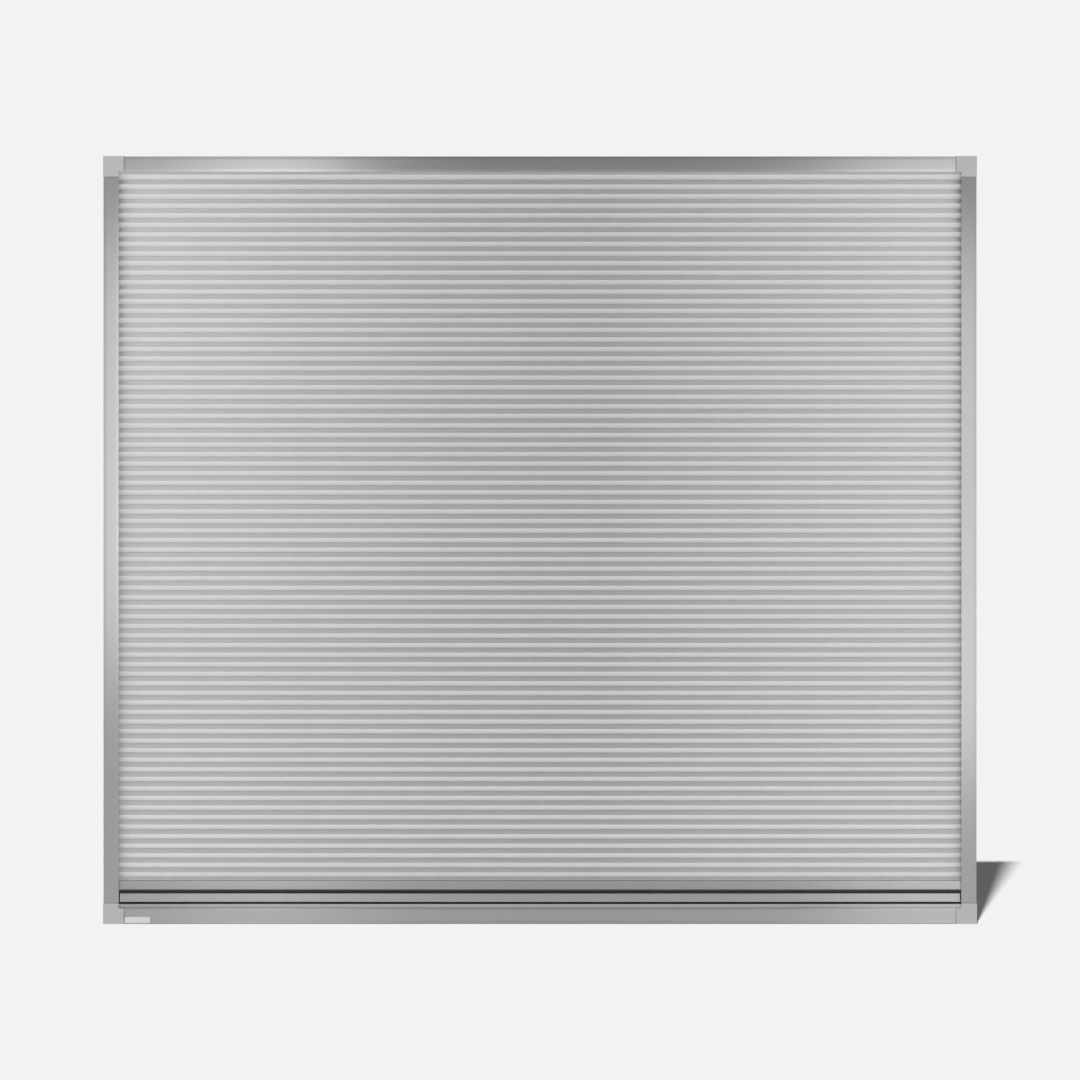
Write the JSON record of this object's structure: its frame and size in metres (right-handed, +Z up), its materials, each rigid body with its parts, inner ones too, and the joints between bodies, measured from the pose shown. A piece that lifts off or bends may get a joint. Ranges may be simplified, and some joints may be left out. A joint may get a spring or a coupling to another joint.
{
  "type": "blackout blind",
  "caption": "Cordless honeycomb blackout blind in its own slim aluminium frame, with a pull bar that slides up and gathers the pleated fabric.",
  "frame": {"origin": "middle of the frame's lower edge, halfway through its depth", "axes": "+X to the right seen from the room, +Y to the window side, +Z up"},
  "size_m": [1.138, 0.03, 1],
  "materials": {
    "frame_aluminium": "satin",
    "bar_aluminium": "satin",
    "hidden_aluminium": "satin",
    "corner_plastic": "matte",
    "inner_plastic": "matte",
    "strip_plastic": "matte",
    "blackout_cloth": "matte",
    "pile": "matte",
    "cord": "matte",
    "seal_rubber": "matte",
    "inlay_black": "matte",
    "badge_metal": "satin",
    "spring_steel": "satin",
    "screw_steel": "satin"
  },
  "bodies": {
    "frame": {"anchor_screws": "screw_steel", "badge_plate": "badge_metal", "clip_screws": "screw_steel", "cord_anchor_left": "inner_plastic", "cord_anchor_right": "inner_plastic", "cord_left_lower": "cord", "cord_left_upper": "cord", "cord_right_lower": "cord", "cord_right_upper": "cord", "corner_bottom_left": "corner_plastic", "corner_bottom_right": "corner_plastic", "corner_top_left": "corner_plastic", "corner_top_right": "corner_plastic", "fabric": "blackout_cloth", "head_cap_left": "inner_plastic", "head_cap_right": "inner_plastic", "head_clips": "inner_plastic", "head_rail": "hidden_aluminium", "head_strip": "strip_plastic", "pile_front_left": "pile", "pile_front_right": "pile", "pile_rear_left": "pile", "pile_rear_right": "pile", "profile_bottom": "frame_aluminium", "profile_left": "frame_aluminium", "profile_right": "frame_aluminium", "profile_top": "frame_aluminium", "sill_strip": "hidden_aluminium", "spring_anchor_left": "inner_plastic", "spring_anchor_right": "inner_plastic", "spring_left": "spring_steel", "spring_plug_left": "inner_plastic", "spring_plug_right": "inner_plastic", "spring_right": "spring_steel"},
    "bar": {"bar_rail": "bar_aluminium", "handle_rail": "bar_aluminium", "grip_face": "bar_aluminium", "grip_shelf": "bar_aluminium", "groove_inlay": "inlay_black", "bar_seal": "seal_rubber", "bar_strip": "strip_plastic", "grip_cap_left": "inner_plastic", "grip_cap_right": "inner_plastic", "glider_left": "inner_plastic", "glider_right": "inner_plastic", "glider_screws": "screw_steel", "cord_left_cross": "cord", "cord_right_cross": "cord"}
  },
  "joints": [
    {"name": "bar_slide", "type": "slide", "parent": "frame", "child": "bar", "axis": [0, 0, 1], "range_m": [0, 0.847], "deforming": ["fabric", "cord_left_lower", "cord_right_lower", "cord_left_upper", "cord_right_upper"]}
  ]
}
